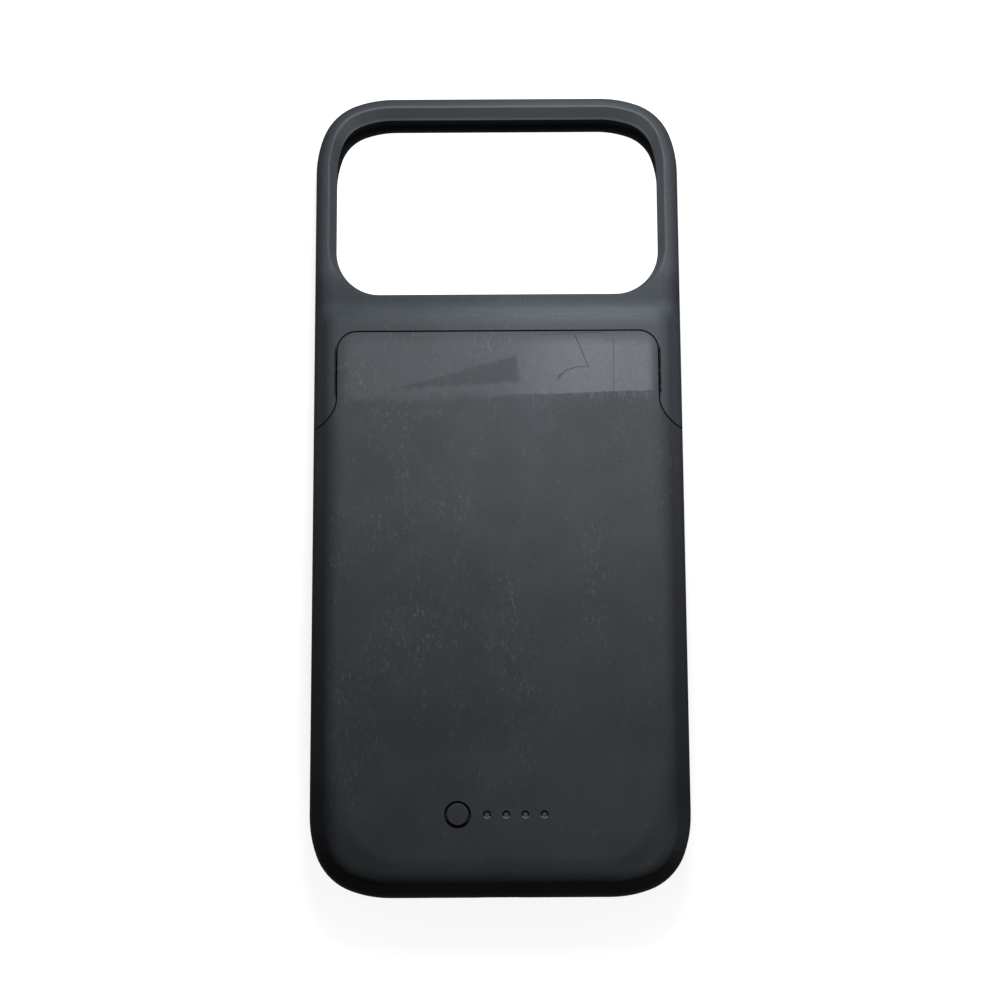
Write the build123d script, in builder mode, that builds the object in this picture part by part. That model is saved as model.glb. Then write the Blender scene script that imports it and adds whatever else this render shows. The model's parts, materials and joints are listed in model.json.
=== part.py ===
from build123d import *
import os
from math import acos, cos, degrees, radians, sin, tan

os.makedirs("parts", exist_ok=True)

# Phone that the case is made for (millimetres)
phone_width = 71.9
phone_length = 150.0
phone_thickness = 8.75
phone_side_fit = 0.15
phone_depth_fit = 0.1

# Walls of the case
side_wall = 2.4
top_wall = 2.4
chin_length = 14.7
lip_height = 1.2
lip_overhang = 1.0
skin = 1.4
plate_thickness = 1.0
bay_depth = 4.15
nest_gap = 0.1

# Outer form
corner_lead = 23.5
corner_core = 11.8
corner_lead_angle = 20.0
side_slope = 38.0
side_slope_height = 3.2
side_round = 5.0
back_round = 3.4
front_bevel = 0.6
frame_rise = 4.65
ramp_radius = 4.2
ramp_land = 1.35

# Seam between the cap and the lower shell
seam_inset = 5.45
seam_from_top = 52.6
seam_exit_from_top = 72.4
seam_top_round = 4.0
seam_leg_round = 6.0
seam_gap = 0.25

# Rails that guide the cap, and the tongue under its bridge
rail_reach = 1.6
rail_height = 1.4
rail_over_plate = 0.95
rail_end_inset = 0.5
tongue_inset = 3.0
tongue_reach = 6.5
slide_gap = 0.25
bridge_core_depth = 1.6
bridge_rib = 1.2
bridge_rib_pitch = 14.0

# Camera window
window_inset = 4.45
window_length = 38.5
window_flare = 15.0
window_low_round = 9.3
window_edge_bevel = 0.25

# Status button, switch and lights
button_x = -8.45
button_from_bottom = 16.7
button_diameter = 4.5
button_gap = 0.4
button_edge_bevel = 0.25
button_flange = 0.75
button_flange_height = 0.6
button_stem = 2.4
button_travel = 0.4
button_free_play = 0.2
light_first_x = -2.6
light_pitch = 3.8
light_count = 4
light_diameter = 0.9
light_recess = 0.3
light_fit = 0.05
light_dish_diameter = 1.6
light_dish_angle = 116.0
light_bar_width = 2.8
light_bar_height = 0.8
light_bar_end = 1.3
led_length = 1.6
led_width = 0.8
led_height = 0.6
led_gap = 0.1
switch_size = 4.4
switch_height = 1.4
switch_floor = 0.3
plunger_diameter = 1.8
plunger_gap = 0.2
plunger_floor_gap = 0.2
stem_gap = 0.15

# Boards
board_thickness = 0.8
board_width = 62.0
board_length = 18.6
board_standoff = 0.5
board_hole_fit = 0.2
dock_board_width = 24.0
dock_board_rise = 1.0
dock_from_shelf = 3.3
chip_size = 5.0
chip_height = 0.9
chip_x = 12.5
chip_from_edge = 4.6
coil_size = 6.4
coil_height = 2.3
coil_x = 20.5
coil_from_edge = 9.5
coil_corner = 0.9

# Screws and rests of the main board
screw_x = 28.0
screw_diameter = 1.3
screw_head_diameter = 2.6
screw_head_height = 0.7
screw_length = 4.5
screw_fit = 0.05
boss_radius = 1.9
boss_merge = 0.6
rest_width = 4.0
rest_length = 2.0

# Battery
battery_width = 58.0
battery_length = 78.0
battery_thickness = 3.55
battery_edge_round = 1.2
battery_end_gap = 1.0
tape_thickness = 0.15
tape_inset = 4.0
rib_thickness = 0.8
rib_height = 2.2
rib_gap = 0.25
rib_end_inset = 5.0
guard_width = 40.0
guard_length = 4.0
guard_gap = 0.3
guard_thickness = 0.8
lead_width = 3.0
lead_thickness = 0.25
lead_pitch = 6.0
lead_inset = 6.0
lead_run = 1.5
lead_lap = 2.0

# Chin: shelf, plug, port and sound slots
shelf_thickness = 1.6
chin_front = 1.6
plug_width = 8.25
plug_height = 2.4
plug_wall = 0.25
plug_reach = 6.6
plug_slot_width = 6.7
plug_slot_height = 0.75
plug_slot_depth = 5.4
plug_insert_recess = 0.25
plug_fit = 0.05
collar_width = 12.0
collar_height = 5.4
collar_fit = 0.1
port_width = 8.94
port_height = 3.2
port_wall = 0.3
port_set_back = 0.6
port_z = 7.6
port_fit = 0.1
port_recess_width = 12.4
port_recess_height = 6.6
port_recess_depth = 0.5
port_tongue_width = 6.7
port_tongue_height = 0.7
port_tongue_set_back = 0.6
port_base_length = 1.2
sound_slot_x = 18.5
sound_slot_width = 2.4
sound_slot_length = 11.0
sound_duct_width = 11.0
sound_duct_height = 3.0

# Key covers in the cap
key_height = 3.4
key_gap = 0.25
key_show = 0.25
key_flange = 0.6
key_flange_thickness = 0.6
key_flange_set_back = 0.4
key_pocket_gap = 0.3
key_flange_play = 0.2
key_edge_bevel = 0.2
side_key_length = 18.0
side_key_from_top = 48.0
action_key_length = 7.5
action_key_from_top = 31.5
volume_key_length = 11.0
volume_up_from_top = 46.0
volume_key_pitch = 14.5

# Worked out from the sizes above
cavity_width = phone_width + 2 * phone_side_fit
cavity_length = phone_length + 2 * phone_side_fit
case_width = cavity_width + 2 * side_wall
boards_from_top = seam_from_top + skin + battery_end_gap + battery_length + guard_gap + guard_length
dock_from_top = top_wall + cavity_length + shelf_thickness + dock_from_shelf
dock_shift = max(0.0, boards_from_top + lead_run + board_length - dock_from_top)
chin_reach = chin_length + dock_shift
case_length = cavity_length + top_wall + chin_reach
half_width = case_width / 2
half_length = case_length / 2
cavity_top = half_length - top_wall
cavity_bottom = cavity_top - cavity_length
cavity_centre = (cavity_top + cavity_bottom) / 2
phone_top = cavity_top - phone_side_fit
phone_back = lip_height + phone_thickness + phone_depth_fit
phone_middle = lip_height + phone_thickness / 2
plate_top = phone_back + plate_thickness
bay_top = plate_top + bay_depth
hump_height = bay_top + skin
frame_height = phone_back + frame_rise
side_height = frame_height - side_slope_height
shoulder_run = side_round * tan(radians(side_slope / 2))
shoulder_height = side_height + shoulder_run * cos(radians(side_slope))
shoulder_inset = shoulder_run * sin(radians(side_slope))
far = case_width + case_length

window_top = half_length - window_inset
window_bottom = window_top - window_length
window_crest = window_bottom - frame_rise * tan(radians(window_flare))
window_half = half_width - window_inset

ramp_rise = hump_height - frame_height
ramp_angle = degrees(acos(1 - ramp_rise / (2 * ramp_radius)))
ramp_run = 2 * ramp_radius * sin(radians(ramp_angle))
ramp_start = window_crest - ramp_land - ramp_run

seam_half = half_width - seam_inset
seam_top = half_length - seam_from_top
seam_exit = half_length - seam_exit_from_top

rail_bottom = plate_top + rail_over_plate
rail_end = seam_top - rail_end_inset
tongue_half = seam_half - tongue_inset
tongue_end = seam_top + tongue_reach

shelf_back = cavity_bottom - shelf_thickness
dock_face = shelf_back - dock_from_shelf - dock_shift
board_bottom = plate_top + board_standoff
board_top = board_bottom + board_thickness
board_end = dock_face + board_length
boss_y = shelf_back + boss_merge - boss_radius
rest_y = board_end - rest_length

button_y = button_from_bottom - half_length
button_hole = button_diameter + 2 * button_gap
button_flange_top = bay_top - button_free_play
button_flange_bottom = button_flange_top - button_flange_height
plunger_top = board_top + switch_height + button_travel + stem_gap
plunger_bottom = board_top + switch_floor + button_travel + plunger_floor_gap
led_top = board_top + led_height
light_middle_x = light_first_x + light_pitch * (light_count - 1) / 2

battery_top = seam_top - skin - battery_end_gap
battery_bottom = battery_top - battery_length
battery_centre = (battery_top + battery_bottom) / 2
battery_base = plate_top + tape_thickness
guard_top = battery_bottom - guard_gap
guard_centre = guard_top - guard_length / 2
lead_x = lead_inset - guard_width / 2

port_mouth = port_set_back - half_length
plug_tip = cavity_bottom + plug_reach


def corner_reach(inset):
    """Length that a soft corner takes from each side of an outline."""
    turn = radians(corner_lead_angle)
    lead = (corner_lead - inset) * (sin(turn) + 1 - cos(turn))
    return lead + (corner_core - inset) * (cos(turn) - sin(turn))


def soft_corner(start, tangent, inset):
    """Corner of three tangent arcs, wide at both ends and tighter in the middle."""
    lead_in = JernArc(start, tangent, corner_lead - inset, corner_lead_angle)
    core = JernArc(lead_in @ 1, lead_in % 1, corner_core - inset, 90 - 2 * corner_lead_angle)
    return JernArc(core @ 1, core % 1, corner_lead - inset, corner_lead_angle)


def soft_plan(width, length, inset, middle, level):
    """Soft-cornered rectangle seen from above, on a level plane."""
    with BuildSketch(Plane.XY.offset(level).move(Location((0, middle, 0)))) as plan:
        with BuildLine():
            side = Line((width / 2, 0), (width / 2, length / 2 - corner_reach(inset)))
            corner = soft_corner(side @ 1, (0, 1), inset)
            Line(corner @ 1, (0, length / 2))
            mirror(about=Plane.YZ)
            mirror(about=Plane.XZ)
        make_face()
    return plan.sketch


def case_plan(inset, level=0.0):
    """Outline of the case, moved inward by the inset."""
    return soft_plan(case_width - 2 * inset, case_length - 2 * inset, inset, 0, level)


def cavity_plan(inset, level):
    """Outline of the space for the phone, moved inward by the inset."""
    width = cavity_width - 2 * inset
    length = cavity_length - 2 * inset
    return soft_plan(width, length, side_wall + inset, cavity_centre, level)


def seam_plan(shift, level=0.0):
    """Area of the lower shell; the seam is moved outward by the shift."""
    corner = (seam_half + shift, seam_top + shift)
    foot = (seam_half + shift, seam_exit + shift)
    rounds = (seam_top_round + shift, seam_leg_round - shift)
    with BuildSketch(Plane.XY.offset(level)) as plan:
        with BuildLine():
            seam = FilletPolyline((0, corner[1]), corner, foot, (far, foot[1]), radius=rounds)
            Polyline(seam @ 1, (far, -far), (0, -far))
            mirror(about=Plane.YZ)
        make_face()
    return plan.sketch


def window_plan():
    """Camera window at the back of the phone, before it flares."""
    with BuildSketch(Plane.XY.offset(phone_back)) as plan:
        with BuildLine():
            low = FilletPolyline(
                (0, window_bottom),
                (window_half, window_bottom),
                (window_half, window_top - corner_reach(window_inset)),
                radius=window_low_round,
            )
            corner = soft_corner(low @ 1, (0, 1), window_inset)
            Line(corner @ 1, (0, window_top))
            mirror(about=Plane.YZ)
        make_face()
    return plan.sketch


def slot_face(plane, x, z, width, height):
    """Round-ended slot on an upright plane."""
    with BuildSketch(plane) as face:
        with Locations((x, z)):
            SlotOverall(width, height)
    return face.sketch


def cross_plane(y):
    """Upright plane across the case at y, facing the chin end."""
    return Plane.XZ.offset(-y)


def key_plane(side):
    """Upright plane on one side wall of the case, facing outward."""
    return Plane((side * half_width, 0, phone_middle), x_dir=(0, 1, 0), z_dir=(side, 0, 0))


def key_face(side, distance, length, height):
    """Round-ended face of a key; the distance runs from the top of the phone."""
    return slot_face(key_plane(side), phone_top - distance, 0, length, height)


def key_block(side, distance, spread, length):
    """Square-ended face behind a key, larger than the key by the spread on every side."""
    with BuildSketch(key_plane(side)) as face:
        with Locations((phone_top - distance, 0)):
            Rectangle(length + 2 * spread, key_height + 2 * spread)
    return face.sketch


def cut_key_seat(side, distance, length):
    """Opening for a key cover, with a pocket for its flange, in the cap."""
    slot = key_face(side, distance, length + 2 * key_gap, key_height + 2 * key_gap)
    extrude(slot, amount=-2 * side_wall, mode=Mode.SUBTRACT)
    pocket = key_block(side, distance, key_flange + key_pocket_gap, length)
    depth = side_wall - key_flange_set_back - key_flange_thickness - key_flange_play
    solid = extrude(pocket, amount=-2 * side_wall, mode=Mode.PRIVATE)
    add(solid.moved(Location((-side * depth, 0, 0))), mode=Mode.SUBTRACT)


def add_key(side, distance, length):
    """Key cover: round-ended cap with a flange behind the wall."""
    flange_face = side_wall - key_flange_set_back - key_flange_thickness
    cap = key_face(side, distance, length, key_height)
    extrude(cap.moved(Location((-side * flange_face, 0, 0))), amount=flange_face + key_show)
    chamfer(edges().group_by(Axis.X)[-1 if side > 0 else 0], length=key_edge_bevel)
    rim = key_block(side, distance, key_flange, length)
    extrude(rim.moved(Location((-side * flange_face, 0, 0))), amount=-key_flange_thickness)


# Outer form of the closed case
with BuildPart() as envelope:
    # Upright wall with a round shoulder, kept up to where the slope starts
    extrude(case_plan(0), amount=side_height - shoulder_run + side_round)
    fillet(envelope.edges().group_by(Axis.Z)[-1], radius=side_round)
    split(bisect_by=Plane.XY.offset(shoulder_height), keep=Keep.BOTTOM)
    # Sloped sides of the back, with the ramp down to the frame
    slope_plan = case_plan(shoulder_inset, shoulder_height)
    extrude(slope_plan, amount=hump_height - shoulder_height, taper=side_slope)
    with BuildSketch(Plane.YZ):
        with BuildLine():
            crown = JernArc((ramp_start, hump_height), (1, 0), ramp_radius, -ramp_angle)
            foot = JernArc(crown @ 1, crown % 1, ramp_radius, ramp_angle)
            Polyline(
                foot @ 1,
                (case_length, frame_height),
                (case_length, 2 * hump_height),
                (ramp_start, 2 * hump_height),
                (ramp_start, hump_height),
            )
        make_face()
    extrude(amount=case_width, both=True, mode=Mode.SUBTRACT)
    slope_middle = (shoulder_height + frame_height) / 2
    upper = envelope.edges().filter_by(
        lambda edge: min(vertex.Z for vertex in edge.vertices()) > slope_middle
    )
    across = upper.filter_by(Axis.X).filter_by(lambda edge: edge.length > cavity_width - 2 * back_round)
    fillet(upper - across, radius=back_round)
    chamfer(envelope.edges().group_by(Axis.Z)[0], length=front_bevel)

# Space inside the lower shell
with BuildPart() as shell_core:
    extrude(case_plan(skin), amount=side_height)
    extrude(case_plan(skin, side_height), amount=bay_top - side_height, taper=side_slope)
    extrude(seam_plan(-skin), amount=bay_top, mode=Mode.INTERSECT)
    extrude(case_plan(skin), amount=plate_top)

# Lower shell: back panel, side walls and chin skin
with BuildPart() as back_shell:
    add(envelope.part)
    extrude(seam_plan(0), amount=hump_height, mode=Mode.INTERSECT)
    add(shell_core.part, mode=Mode.SUBTRACT)
    # Rails on both sides of the tongue
    rail_length = rail_end - (seam_exit + seam_leg_round)
    with Locations((0, rail_end - rail_length / 2, rail_bottom + rail_height / 2)):
        with GridLocations(2 * seam_half + rail_reach - skin, 0, 2, 1):
            Box(rail_reach + skin, rail_length, rail_height)
    # Openings for the button, the lights and the charging port
    with Locations((button_x, button_y, hump_height)):
        Hole(radius=button_hole / 2, depth=2 * skin)
    with Locations((light_middle_x, button_y, hump_height)):
        with GridLocations(light_pitch, 0, light_count, 1):
            CounterSinkHole(
                radius=light_diameter / 2 + light_fit,
                counter_sink_radius=light_dish_diameter / 2,
                depth=2 * skin,
                counter_sink_angle=light_dish_angle,
            )
    recess = slot_face(cross_plane(-half_length), 0, port_z, port_recess_width, port_recess_height)
    extrude(recess, amount=-port_recess_depth, mode=Mode.SUBTRACT)
    mouth = slot_face(
        cross_plane(-half_length), 0, port_z, port_width + 2 * port_fit, port_height + 2 * port_fit
    )
    extrude(mouth, amount=-2 * skin, mode=Mode.SUBTRACT)
back_shell.part.label = "back_shell"
export_step(back_shell.part, "parts/back_shell.step")

# Cap: frame of the camera window, bridge with the ramp, and two legs
with BuildPart() as top_cap:
    add(envelope.part)
    extrude(seam_plan(seam_gap), amount=hump_height, mode=Mode.SUBTRACT)
    extrude(cavity_plan(0, lip_height), amount=phone_back - lip_height, mode=Mode.SUBTRACT)
    extrude(cavity_plan(lip_overhang, 0), amount=lip_height, mode=Mode.SUBTRACT)
    # Flared camera window
    extrude(window_plan(), amount=2 * frame_rise, taper=-window_flare, mode=Mode.SUBTRACT)
    crest_level = phone_back + frame_rise / 2
    crest = top_cap.edges(Select.LAST).filter_by(
        lambda edge: min(vertex.Z for vertex in edge.vertices()) > crest_level
    )
    chamfer(crest, length=window_edge_bevel)
    # Pocket for the tongue of the cradle, cored out between ribs
    pocket_end = tongue_end + slide_gap
    with BuildSketch(Plane.XY.offset(phone_back)):
        with Locations((0, pocket_end)):
            Rectangle(2 * (tongue_half + slide_gap), tongue_reach * 2, align=(Align.CENTER, Align.MAX))
    extrude(amount=plate_thickness + slide_gap, mode=Mode.SUBTRACT)
    with BuildSketch(Plane.XY.offset(plate_top + slide_gap)):
        core_length = pocket_end - seam_top - seam_gap - skin
        with Locations((0, pocket_end - core_length / 2)):
            with GridLocations(bridge_rib_pitch, 0, 4, 1):
                Rectangle(bridge_rib_pitch - bridge_rib, core_length)
    extrude(amount=bridge_core_depth, mode=Mode.SUBTRACT)
    # Grooves for the rails
    groove_length = rail_end + slide_gap - seam_exit
    with Locations((0, rail_end + slide_gap - groove_length / 2, rail_bottom + rail_height / 2)):
        Box(
            2 * (seam_half + rail_reach + slide_gap),
            groove_length,
            rail_height + 2 * slide_gap,
            mode=Mode.SUBTRACT,
        )
    # Seats of the key covers
    cut_key_seat(-1, side_key_from_top, side_key_length)
    cut_key_seat(1, action_key_from_top, action_key_length)
    cut_key_seat(1, volume_up_from_top, volume_key_length)
    cut_key_seat(1, volume_up_from_top + volume_key_pitch, volume_key_length)
top_cap.part.label = "top_cap"
export_step(top_cap.part, "parts/top_cap.step")

# Cradle: plate behind the phone, side liners, lip, shelf and chin front
with BuildPart() as cradle:
    with BuildSketch(Plane.XY.offset(phone_back)):
        add(seam_plan(0, phone_back))
        add(case_plan(skin + nest_gap, phone_back), mode=Mode.INTERSECT)
    extrude(amount=plate_thickness)
    with BuildSketch(Plane.XY.offset(lip_height)):
        add(seam_plan(0, lip_height))
        add(case_plan(skin + nest_gap, lip_height), mode=Mode.INTERSECT)
        add(cavity_plan(0, lip_height), mode=Mode.SUBTRACT)
    extrude(amount=phone_back - lip_height)
    with BuildSketch():
        add(seam_plan(0))
        add(case_plan(skin + nest_gap), mode=Mode.INTERSECT)
        add(cavity_plan(lip_overhang, 0), mode=Mode.SUBTRACT)
    extrude(amount=lip_height)
    # Tongue under the bridge of the cap
    with BuildSketch(Plane.XY.offset(phone_back)):
        with Locations((0, tongue_end)):
            Rectangle(2 * tongue_half, tongue_reach + skin, align=(Align.CENTER, Align.MAX))
    extrude(amount=plate_thickness)
    # Hollow chin, open towards the shell
    with BuildSketch(Plane.XY.offset(chin_front)):
        with Locations((0, shelf_back)):
            Rectangle(case_width, chin_reach, align=(Align.CENTER, Align.MAX))
    extrude(amount=hump_height, mode=Mode.SUBTRACT)
    # Columns for the screws, rests for the board and ribs for the battery
    with BuildSketch(Plane.XY.offset(chin_front)):
        with Locations((0, boss_y)):
            with GridLocations(2 * screw_x, 0, 2, 1):
                Circle(boss_radius)
    extrude(amount=board_bottom - chin_front)
    with BuildSketch(Plane.XY.offset(plate_top)):
        with Locations((0, rest_y)):
            with GridLocations(2 * screw_x, 0, 2, 1):
                Rectangle(rest_width, rest_length)
    extrude(amount=board_standoff)
    with BuildSketch(Plane.XY.offset(plate_top)):
        with Locations((0, battery_centre)):
            with GridLocations(battery_width + 2 * rib_gap + rib_thickness, 0, 2, 1):
                Rectangle(rib_thickness, battery_length - 2 * rib_end_inset)
    extrude(amount=rib_height)
    with Locations((0, boss_y, board_bottom)):
        with GridLocations(2 * screw_x, 0, 2, 1):
            Hole(radius=screw_diameter / 2 + screw_fit, depth=screw_length)
    # Openings for the plug and the sound
    opening = slot_face(cross_plane(cavity_bottom), 0, phone_middle, collar_width, collar_height)
    extrude(opening, amount=2 * shelf_thickness, mode=Mode.SUBTRACT)
    with BuildSketch(cross_plane(cavity_bottom)):
        with Locations((0, phone_middle)):
            with GridLocations(2 * sound_slot_x, 0, 2, 1):
                Rectangle(sound_duct_width, sound_duct_height)
    extrude(amount=shelf_thickness, mode=Mode.SUBTRACT)
    slot_y = (shelf_back - half_length + skin) / 2
    with BuildSketch():
        for side in (-1, 1):
            with Locations((side * sound_slot_x, slot_y)):
                SlotOverall(sound_slot_length, sound_slot_width)
    extrude(amount=chin_front, mode=Mode.SUBTRACT)
cradle.part.label = "cradle"
export_step(cradle.part, "parts/cradle.step")

# Status button
with BuildPart() as status_button:
    with BuildSketch(Plane.XY.offset(button_flange_top)):
        with Locations((button_x, button_y)):
            Circle(button_diameter / 2)
    extrude(amount=hump_height - button_flange_top)
    chamfer(status_button.edges().group_by(Axis.Z)[-1], length=button_edge_bevel)
    with BuildSketch(Plane.XY.offset(button_flange_bottom)):
        with Locations((button_x, button_y)):
            Circle(button_hole / 2 + button_flange)
    extrude(amount=button_flange_height)
    with BuildSketch(Plane.XY.offset(plunger_top)):
        with Locations((button_x, button_y)):
            Circle(button_stem / 2)
    extrude(amount=button_flange_bottom - plunger_top)
status_button.part.label = "status_button"
export_step(status_button.part, "parts/status_button.step")

# Switch under the button
with BuildPart() as tact_switch:
    with BuildSketch(Plane.XY.offset(board_top)):
        with Locations((button_x, button_y)):
            Rectangle(switch_size, switch_size)
    extrude(amount=switch_height)
    with Locations((button_x, button_y, board_top + switch_height)):
        Hole(radius=plunger_diameter / 2 + plunger_gap, depth=switch_height - switch_floor)
tact_switch.part.label = "tact_switch"
export_step(tact_switch.part, "parts/tact_switch.step")

# Plunger of the switch
with BuildPart() as switch_plunger:
    with BuildSketch(Plane.XY.offset(plunger_top)):
        with Locations((button_x, button_y)):
            Circle(plunger_diameter / 2)
    extrude(amount=plunger_bottom - plunger_top)
switch_plunger.part.label = "switch_plunger"
export_step(switch_plunger.part, "parts/switch_plunger.step")

# Light pipes: four stems on one bar
with BuildPart() as light_pipes:
    with BuildSketch(Plane.XY.offset(bay_top)):
        with Locations((light_middle_x, button_y)):
            bar_length = light_pitch * (light_count - 1) + 2 * light_bar_end
            Rectangle(bar_length, light_bar_width)
    extrude(amount=-light_bar_height)
    with BuildSketch(Plane.XY.offset(bay_top)):
        with Locations((light_middle_x, button_y)):
            with GridLocations(light_pitch, 0, light_count, 1):
                Circle(light_diameter / 2)
    extrude(amount=skin - light_recess)
    with BuildSketch(Plane.XY.offset(led_top + led_gap)):
        with Locations((light_middle_x, button_y)):
            with GridLocations(light_pitch, 0, light_count, 1):
                Rectangle(led_length, led_length)
    extrude(amount=bay_top - light_bar_height - led_top - led_gap)
light_pipes.part.label = "light_pipes"
export_step(light_pipes.part, "parts/light_pipes.step")

# Four small lights on the board
with BuildPart() as status_leds:
    with BuildSketch(Plane.XY.offset(board_top)):
        with Locations((light_middle_x, button_y)):
            with GridLocations(light_pitch, 0, light_count, 1):
                Rectangle(led_length, led_width)
    extrude(amount=led_height)
status_leds.part.label = "status_leds"
export_step(status_leds.part, "parts/status_leds.step")

# Main board
with BuildPart() as main_board:
    with BuildSketch(Plane.XY.offset(board_bottom)):
        with Locations((0, dock_face)):
            Rectangle(board_width, board_length, align=(Align.CENTER, Align.MIN))
        with Locations((0, boss_y)):
            with GridLocations(2 * screw_x, 0, 2, 1):
                Circle(screw_diameter / 2 + board_hole_fit, mode=Mode.SUBTRACT)
    extrude(amount=board_thickness)
main_board.part.label = "main_board"
export_step(main_board.part, "parts/main_board.step")

# Charging chip
with BuildPart() as charge_controller:
    with BuildSketch(Plane.XY.offset(board_top)):
        with Locations((chip_x, board_end - chip_from_edge)):
            Rectangle(chip_size, chip_size)
    extrude(amount=chip_height)
    chamfer(charge_controller.edges().group_by(Axis.Z)[-1], length=chip_height / 6)
charge_controller.part.label = "charge_controller"
export_step(charge_controller.part, "parts/charge_controller.step")

# Converter coil
with BuildPart() as power_inductor:
    with BuildSketch(Plane.XY.offset(board_top)):
        with Locations((coil_x, board_end - coil_from_edge)):
            Rectangle(coil_size, coil_size)
    extrude(amount=coil_height)
    chamfer(power_inductor.edges().filter_by(Axis.Z), length=coil_corner)
power_inductor.part.label = "power_inductor"
export_step(power_inductor.part, "parts/power_inductor.step")

# Screws of the main board
with BuildPart() as board_screws:
    with Locations((0, boss_y, board_top)):
        with GridLocations(2 * screw_x, 0, 2, 1):
            Cylinder(
                screw_head_diameter / 2,
                screw_head_height,
                align=(Align.CENTER, Align.CENTER, Align.MIN),
            )
    with Locations((0, boss_y, board_top)):
        with GridLocations(2 * screw_x, 0, 2, 1):
            Cylinder(
                screw_diameter / 2,
                screw_length,
                align=(Align.CENTER, Align.CENTER, Align.MAX),
            )
board_screws.part.label = "board_screws"
export_step(board_screws.part, "parts/board_screws.step")

# Battery cell
with BuildPart() as battery_cell:
    with Locations((0, battery_centre, battery_base)):
        Box(
            battery_width,
            battery_length,
            battery_thickness,
            align=(Align.CENTER, Align.CENTER, Align.MIN),
        )
    fillet(battery_cell.edges().filter_by(Axis.Y), radius=battery_edge_round)
battery_cell.part.label = "battery_cell"
export_step(battery_cell.part, "parts/battery_cell.step")

# Adhesive sheet under the cell
with BuildPart() as battery_tape:
    with Locations((0, battery_centre, plate_top)):
        Box(
            battery_width - 2 * tape_inset,
            battery_length - 2 * tape_inset,
            tape_thickness,
            align=(Align.CENTER, Align.CENTER, Align.MIN),
        )
battery_tape.part.label = "battery_tape"
export_step(battery_tape.part, "parts/battery_tape.step")

# Protection board of the cell
with BuildPart() as protection_board:
    with BuildSketch(Plane.XY.offset(plate_top)):
        with Locations((0, guard_centre)):
            Rectangle(guard_width, guard_length)
    extrude(amount=guard_thickness)
protection_board.part.label = "protection_board"
export_step(protection_board.part, "parts/protection_board.step")

# Leads from the protection board to the main board
with BuildPart() as battery_leads:
    lead_low = plate_top + guard_thickness
    for lead_shift in (-lead_pitch / 2, lead_pitch / 2):
        with BuildSketch(Plane.YZ.offset(lead_x + lead_shift)):
            with BuildLine():
                lower = Polyline(
                    (guard_centre + guard_length / 4, lead_low),
                    (guard_centre - guard_length / 2, lead_low),
                    (board_end, board_top),
                    (board_end - lead_lap, board_top),
                )
                upper = Polyline(
                    (guard_centre + guard_length / 4, lead_low + lead_thickness),
                    (guard_centre - guard_length / 2, lead_low + lead_thickness),
                    (board_end, board_top + lead_thickness),
                    (board_end - lead_lap, board_top + lead_thickness),
                )
                Line(lower @ 0, upper @ 0)
                Line(lower @ 1, upper @ 1)
            make_face()
        extrude(amount=lead_width / 2, both=True)
battery_leads.part.label = "battery_leads"
export_step(battery_leads.part, "parts/battery_leads.step")

# Upright board in the chin
with BuildPart() as dock_board:
    with Locations((0, dock_face, chin_front)):
        Box(
            dock_board_width,
            board_thickness,
            board_top + dock_board_rise - chin_front,
            align=(Align.CENTER, Align.MAX, Align.MIN),
        )
dock_board.part.label = "dock_board"
export_step(dock_board.part, "parts/dock_board.step")

# Charging port: metal shell
port_back = dock_face - board_thickness
with BuildPart() as port_shell:
    outer = slot_face(cross_plane(port_back), 0, port_z, port_width, port_height)
    extrude(outer, amount=port_back - port_mouth)
    inner = slot_face(
        cross_plane(port_back - port_wall),
        0,
        port_z,
        port_width - 2 * port_wall,
        port_height - 2 * port_wall,
    )
    extrude(inner, amount=port_back - port_mouth, mode=Mode.SUBTRACT)
port_shell.part.label = "port_shell"
export_step(port_shell.part, "parts/port_shell.step")

# Charging port: contact tongue on its base
port_floor = port_back - port_wall
with BuildPart() as port_tongue:
    base = slot_face(
        cross_plane(port_floor),
        0,
        port_z,
        port_width - 2 * port_wall - 2 * plug_fit,
        port_height - 2 * port_wall - 2 * plug_fit,
    )
    extrude(base, amount=port_base_length)
    tongue_length = port_floor - port_mouth - port_tongue_set_back
    with Locations((0, port_floor, port_z)):
        Box(
            port_tongue_width,
            tongue_length,
            port_tongue_height,
            align=(Align.CENTER, Align.MAX, Align.CENTER),
        )
port_tongue.part.label = "port_tongue"
export_step(port_tongue.part, "parts/port_tongue.step")

# Plug for the phone: metal shell
with BuildPart() as plug_shell:
    outer = slot_face(cross_plane(dock_face), 0, phone_middle, plug_width, plug_height)
    extrude(outer, amount=dock_face - plug_tip)
    inner = slot_face(
        cross_plane(dock_face),
        0,
        phone_middle,
        plug_width - 2 * plug_wall,
        plug_height - 2 * plug_wall,
    )
    extrude(inner, amount=dock_face - plug_tip, mode=Mode.SUBTRACT)
plug_shell.part.label = "plug_shell"
export_step(plug_shell.part, "parts/plug_shell.step")

# Plug for the phone: contact insert
with BuildPart() as plug_insert:
    insert_tip = plug_tip - plug_insert_recess
    body = slot_face(
        cross_plane(dock_face),
        0,
        phone_middle,
        plug_width - 2 * plug_wall - 2 * plug_fit,
        plug_height - 2 * plug_wall - 2 * plug_fit,
    )
    extrude(body, amount=dock_face - insert_tip)
    with Locations((0, insert_tip, phone_middle)):
        Box(
            plug_slot_width,
            2 * plug_slot_depth,
            plug_slot_height,
            mode=Mode.SUBTRACT,
        )
plug_insert.part.label = "plug_insert"
export_step(plug_insert.part, "parts/plug_insert.step")

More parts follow.
